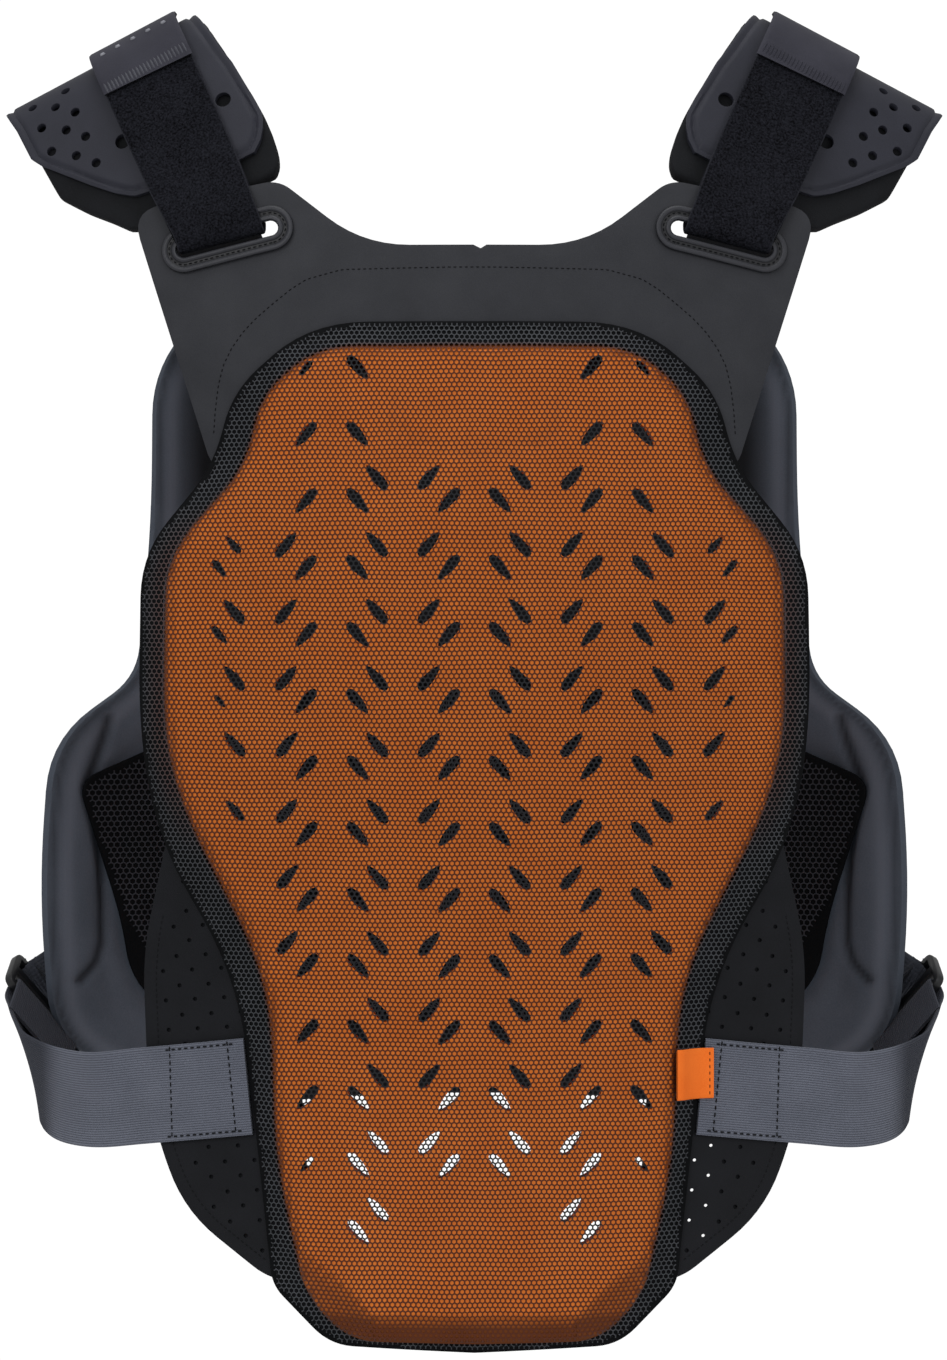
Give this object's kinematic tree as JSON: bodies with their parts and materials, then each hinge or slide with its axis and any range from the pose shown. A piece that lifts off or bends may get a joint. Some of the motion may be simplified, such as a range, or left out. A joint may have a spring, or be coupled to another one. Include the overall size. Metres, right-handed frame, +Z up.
{
  "type": "motorcycle protective vest",
  "caption": "Sleeveless motorcycle body armour: orange vented back protector in a net pocket, moulded chest panel, shoulder caps on straps and elastic waist straps with buckles.",
  "frame": {"origin": "midway between the two shoulder seats, where the wearer's shoulders hold the vest up", "axes": "+X towards the wearer's right, +Y towards the wearer's front, +Z up"},
  "size_m": [0.5104, 0.2734, 0.6978],
  "materials": {
    "yoke": "smooth coated sheet, matte",
    "rim": "moulded, satin",
    "insert": "soft moulded foam, matte",
    "border": "dense knitted net, matte",
    "wing": "coated perforated sheet, matte",
    "elastic": "ribbed elastic webbing, matte",
    "plastic": "moulded, satin",
    "guard": "moulded foam skin, matte",
    "pad": "padded cloth, matte",
    "loop": "brushed loop webbing, fuzzy",
    "panel": "moulded foam sheet, matte",
    "lining": "spacer mesh, matte",
    "tag": "woven tag, matte"
  },
  "bodies": {
    "root": {"back_yoke": "yoke", "back_insert": "insert", "mesh_border": "border", "front_panel": "panel", "front_lining": "lining", "label_tag": "tag", "slot_rim_right": "rim", "slot_rim_left": "rim", "side_wing_right": "wing", "side_wing_left": "wing", "shoulder_guard_right": "guard", "shoulder_guard_left": "guard", "shoulder_pad_right": "pad", "shoulder_pad_left": "pad", "shoulder_strap_right": "loop", "shoulder_strap_left": "loop", "strap_end_tab_right": "loop", "strap_end_tab_left": "loop", "waist_strap_right": "elastic", "waist_strap_left": "elastic", "waist_buckle_right": "plastic", "waist_buckle_left": "plastic", "buckle_webbing_right": "elastic", "buckle_webbing_left": "elastic"}
  },
  "joints": []
}
